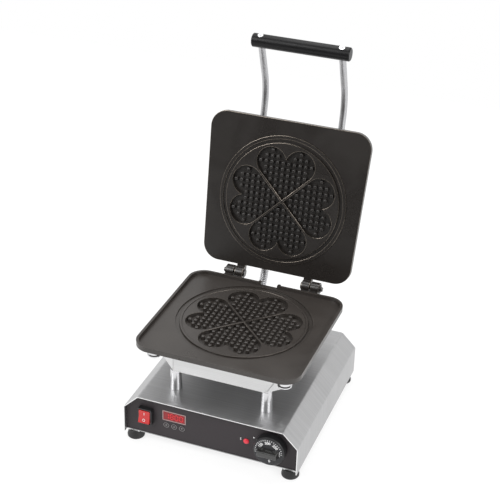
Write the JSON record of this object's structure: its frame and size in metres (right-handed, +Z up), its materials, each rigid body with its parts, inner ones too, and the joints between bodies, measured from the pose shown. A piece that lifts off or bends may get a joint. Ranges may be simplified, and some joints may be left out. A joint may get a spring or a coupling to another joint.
{
  "type": "waffle maker",
  "caption": "Counter waffle iron: control base on feet, heated square plate on legs, hinged upper plate with heart pockets, bow handle.",
  "frame": {"origin": "on the standing plane, under the middle of the whole appliance with the lid standing open", "axes": "+Z up, the controls face -Y, +X to the right seen from the front"},
  "size_m": [0.31, 0.458, 0.6057],
  "materials": {
    "base_sheet": "brushed stainless sheet, grain along the width",
    "panel_black": "satin black-brown printed front foil",
    "rubber_black": "matt black rubber",
    "steel_polished": "turned and polished stainless steel",
    "zinc_screw": "zinc plated steel",
    "housing_sheet": "brushed stainless sheet",
    "wool": "mineral wool",
    "element_sheath": "heat-tinted element sheath",
    "copper": "bare copper",
    "coating": "dark non-stick coating on cast aluminium",
    "plastic_black": "matt black plastic",
    "switch_red": "lit red rocker",
    "window_red": "deep red display window",
    "frame_light": "light printed frame",
    "board_green": "circuit board",
    "key_foil": "satin key caps",
    "lens_red": "red lens",
    "dial_plastic": "satin black thermostat dial",
    "bakelite": "cream thermostat body",
    "terminal_white": "white terminal block",
    "conduit_metal": "spiral-wound flexible metal conduit",
    "rod_steel": "ground stainless rod",
    "grip_black": "turned black heat-proof plastic"
  },
  "bodies": {
    "base": {"base_shell": "base_sheet", "front_panel": "panel_black", "rear_panel": "base_sheet", "bottom_cover": "base_sheet", "foot_front_left": "rubber_black", "foot_front_right": "rubber_black", "foot_rear_left": "rubber_black", "foot_rear_right": "rubber_black", "foot_screws": "zinc_screw", "leg_front_left": "steel_polished", "leg_front_right": "steel_polished", "leg_rear_left": "steel_polished", "leg_rear_right": "steel_polished", "leg_bolts": "zinc_screw", "lower_housing": "housing_sheet", "lower_insulation": "wool", "lower_element": "element_sheath", "lower_clamp_plate": "zinc_screw", "lower_screws": "zinc_screw", "thermostat_bulb": "copper", "lower_plate": "coating", "baking_disc": "coating", "hinge_lugs": "coating", "plate_foot_left": "steel_polished", "plate_foot_right": "steel_polished", "hinge_pin_left": "steel_polished", "hinge_pin_right": "steel_polished", "hinge_clips": "zinc_screw", "switch_body": "plastic_black", "display_frame": "frame_light", "display_window": "window_red", "timer_board": "board_green", "signal_lamp": "lens_red", "lamp_holder": "plastic_black", "thermostat": "bakelite", "power_relay": "plastic_black", "terminal_block": "terminal_white", "cable_gland": "plastic_black", "gland_nut": "plastic_black", "conduit": "conduit_metal", "conduit_gland_base": "steel_polished"},
    "lid": {"upper_plate": "coating", "upper_housing": "housing_sheet", "upper_insulation": "wool", "upper_element": "element_sheath", "upper_clamp_plate": "zinc_screw", "upper_screws": "zinc_screw", "handle_rod_left": "rod_steel", "handle_rod_right": "rod_steel", "rod_clamps": "housing_sheet", "clamp_screws": "zinc_screw", "grip": "grip_black", "grip_screws": "steel_polished", "conduit_gland_lid": "steel_polished"},
    "rocker": {"switch_rocker": "switch_red"},
    "dial": {"dial": "dial_plastic", "dial_shaft": "zinc_screw"},
    "key_left": {"key_left": "key_foil"},
    "key_middle": {"key_middle": "key_foil"},
    "key_right": {"key_right": "key_foil"}
  },
  "joints": [
    {"name": "lid_hinge", "type": "hinge", "parent": "base", "child": "lid", "pos_m": [0, 0.0906, 0.1882], "axis": [1, 0, 0], "range_deg": [0, 102.7], "deforming": ["conduit"]},
    {"name": "rocker_tilt", "type": "hinge", "parent": "base", "child": "rocker", "pos_m": [-0.116, -0.2032, 0.055], "axis": [1, 0, 0], "range_deg": [0, 18]},
    {"name": "dial_turn", "type": "hinge", "parent": "base", "child": "dial", "pos_m": [0.108, -0.2002, 0.055], "axis": [0, 1, 0], "range_deg": [0, 270]},
    {"name": "key_left_press", "type": "slide", "parent": "base", "child": "key_left", "axis": [0, 1, 0], "range_m": [0, 0.0008], "stiffness_N_per_m": 400},
    {"name": "key_middle_press", "type": "slide", "parent": "base", "child": "key_middle", "axis": [0, 1, 0], "range_m": [0, 0.0008], "stiffness_N_per_m": 400},
    {"name": "key_right_press", "type": "slide", "parent": "base", "child": "key_right", "axis": [0, 1, 0], "range_m": [0, 0.0008], "stiffness_N_per_m": 400}
  ]
}
